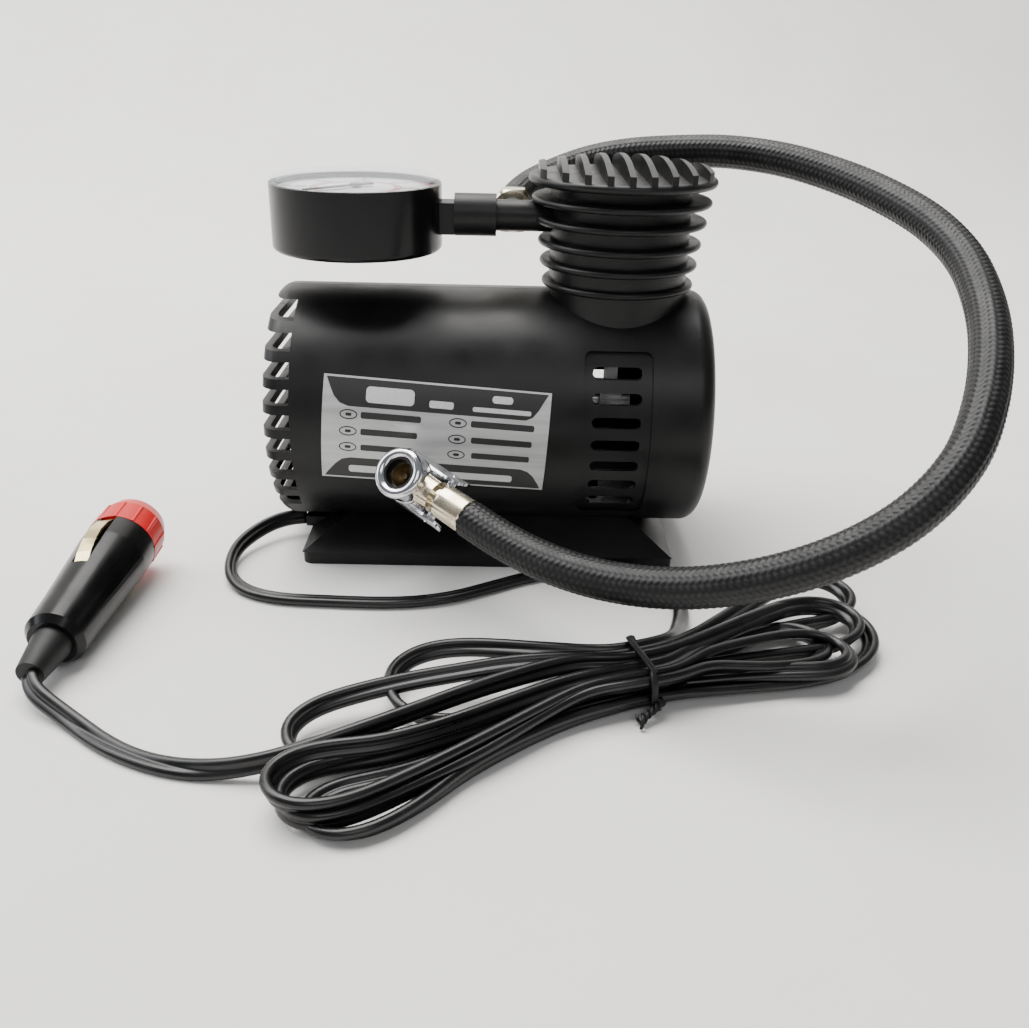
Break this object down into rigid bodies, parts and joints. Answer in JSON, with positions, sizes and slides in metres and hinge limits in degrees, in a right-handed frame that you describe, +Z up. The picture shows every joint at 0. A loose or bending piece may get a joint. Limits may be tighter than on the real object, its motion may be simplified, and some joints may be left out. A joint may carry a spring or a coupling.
{
  "type": "portable tire inflator",
  "caption": "Portable 12 V tyre inflator: lying motor cylinder with finned compressor tower, round pressure gauge, braided hose with lever chuck, and a plug on a tied flat cord.",
  "frame": {"origin": "middle of the base plate's underside, under the middle of the body cylinder", "axes": "+X along the body towards the compressor tower, +Z up, -Y towards the labelled front"},
  "size_m": [0.252, 0.2094, 0.1243],
  "materials": {
    "black_abs": "satin moulded, fine texture",
    "gloss_black": "polished",
    "label_silver": "brushed silver foil with black bands",
    "zinc_steel": "zinc plated",
    "clear_lens": "clear moulded lens",
    "dial_white": "printed dial",
    "needle_black": "satin",
    "brass": "machined",
    "nickel_brass": "nickel tinted, polished",
    "chrome": "polished",
    "hose_braid": "braided over rubber",
    "black_rubber": "matte",
    "cord_pvc": "semi gloss PVC",
    "ferrite": "ferrite",
    "bakelite": "phenolic",
    "carbon": "carbon",
    "steel": "ground",
    "core_steel": "laminated",
    "copper": "enamelled copper",
    "die_cast": "die cast",
    "aluminium": "turned",
    "sinter": "sintered",
    "wire_red": "PVC",
    "plug_red": "glossy",
    "gold_contact": "gold tinted spring steel"
  },
  "bodies": {
    "compressor": {"front_housing": "black_abs", "rear_housing": "black_abs", "base_foot": "black_abs", "label_plate": "label_silver", "case_screws": "zinc_steel", "gauge_case": "gloss_black", "gauge_lens": "clear_lens", "gauge_dial": "dial_white", "gauge_movement": "brass", "bourdon_tube": "brass", "gauge_stem": "black_abs", "collar_nut": "black_abs", "outlet_manifold": "black_abs", "hose_nut": "nickel_brass", "hose": "hose_braid", "hose_ferrule": "nickel_brass", "chuck_body": "nickel_brass", "chuck_head": "chrome", "chuck_seal": "black_rubber", "chuck_pivot_pin": "chrome", "motor_can": "zinc_steel", "motor_magnets": "ferrite", "motor_end_cap": "bakelite", "motor_brushes": "carbon", "motor_bushes": "sinter", "crankcase": "die_cast", "crank_bush": "sinter", "cylinder_sleeve": "aluminium", "valve_plate": "aluminium", "valve_spring": "steel", "cylinder_head": "die_cast", "machine_screws": "zinc_steel", "motor_leads": "wire_red", "cord_grommet": "black_rubber", "cord_lead": "cord_pvc", "cord_hank": "cord_pvc", "cord_tail": "cord_pvc", "twist_tie": "black_rubber", "plug_body": "gloss_black", "plug_collar": "plug_red", "plug_boot": "black_rubber"},
    "rotor": {"motor_shaft": "steel", "armature_core": "core_steel", "armature_windings": "copper", "commutator": "copper", "motor_pinion": "brass"},
    "crank": {"crank_gear": "sinter"},
    "piston": {"piston": "aluminium", "piston_seal": "black_rubber", "wrist_pin": "steel"},
    "rod": {"connecting_rod": "die_cast", "crank_pin": "steel"},
    "outlet_valve": {"outlet_valve": "black_rubber"},
    "needle": {"gauge_needle": "needle_black"},
    "sector": {"gauge_sector": "brass"},
    "chuck_lever": {"chuck_lever": "chrome"},
    "chuck_plunger": {"chuck_plunger": "brass"},
    "plug_tip": {"plug_tip": "steel"},
    "contact_left": {"plug_contact_left": "gold_contact"},
    "contact_right": {"plug_contact_right": "gold_contact"}
  },
  "joints": [
    {"name": "motor_spin", "type": "hinge", "parent": "compressor", "child": "rotor", "pos_m": [0, 0, 0.032], "axis": [1, 0, 0], "continuous": true},
    {"name": "crank_turn", "type": "hinge", "parent": "compressor", "child": "crank", "pos_m": [0.0225, 0, 0.052], "axis": [1, 0, 0], "continuous": true},
    {"name": "piston_stroke", "type": "slide", "parent": "compressor", "child": "piston", "axis": [0, 0, 1], "range_m": [0, 0.013]},
    {"name": "rod_swing", "type": "hinge", "parent": "piston", "child": "rod", "pos_m": [0.0383, 0, 0.0785], "axis": [1, 0, 0], "range_deg": [-11.4, 11.4]},
    {"name": "outlet_valve_lift", "type": "slide", "parent": "compressor", "child": "outlet_valve", "axis": [0, 0, 1], "range_m": [0, 0.0015], "stiffness_N_per_m": 60, "springref_m": -0.001, "deforming": ["valve_spring"]},
    {"name": "needle_turn", "type": "hinge", "parent": "compressor", "child": "needle", "pos_m": [-0.041, 0, 0.1105], "axis": [0, 0, -1], "range_deg": [0, 270], "stiffness_Nm_per_rad": 0.0005, "springref_deg": -11.46},
    {"name": "sector_turn", "type": "hinge", "parent": "compressor", "child": "sector", "pos_m": [-0.041, -0.013, 0.103], "axis": [0, 0, -1], "range_deg": [-49.2, 0]},
    {"name": "lever_open", "type": "hinge", "parent": "compressor", "child": "chuck_lever", "pos_m": [-0.01244, -0.05742, 0.03421], "axis": [-0.5228, -0.3553, -0.7749], "range_deg": [0, 85]},
    {"name": "plunger_retract", "type": "slide", "parent": "compressor", "child": "chuck_plunger", "axis": [0.377, 0.719, -0.5839], "range_m": [0, 0.0015]},
    {"name": "tip_press", "type": "slide", "parent": "compressor", "child": "plug_tip", "axis": [-0.0469, -0.9938, -0.1011], "range_m": [0, 0.003], "stiffness_N_per_m": 150, "springref_m": -0.002},
    {"name": "contact_left_flex", "type": "hinge", "parent": "compressor", "child": "contact_left", "pos_m": [-0.11056, -0.06832, 0.01795], "axis": [-0.9829, 0.0639, -0.1728], "range_deg": [0, 4], "stiffness_Nm_per_rad": 0.02, "springref_deg": -1.15},
    {"name": "contact_right_flex", "type": "hinge", "parent": "compressor", "child": "contact_right", "pos_m": [-0.10782, -0.06692, 0.00286], "axis": [0.9829, -0.0639, 0.1728], "range_deg": [0, 4], "stiffness_Nm_per_rad": 0.02, "springref_deg": -1.15}
  ],
  "couplings": [
    {"joint": "crank_turn", "follows": "motor_spin", "ratio": -0.25},
    {"joint": "sector_turn", "follows": "needle_turn", "ratio": -0.18182},
    {"joint": "plunger_retract", "follows": "lever_open", "m_per_rad": 0.001}
  ]
}
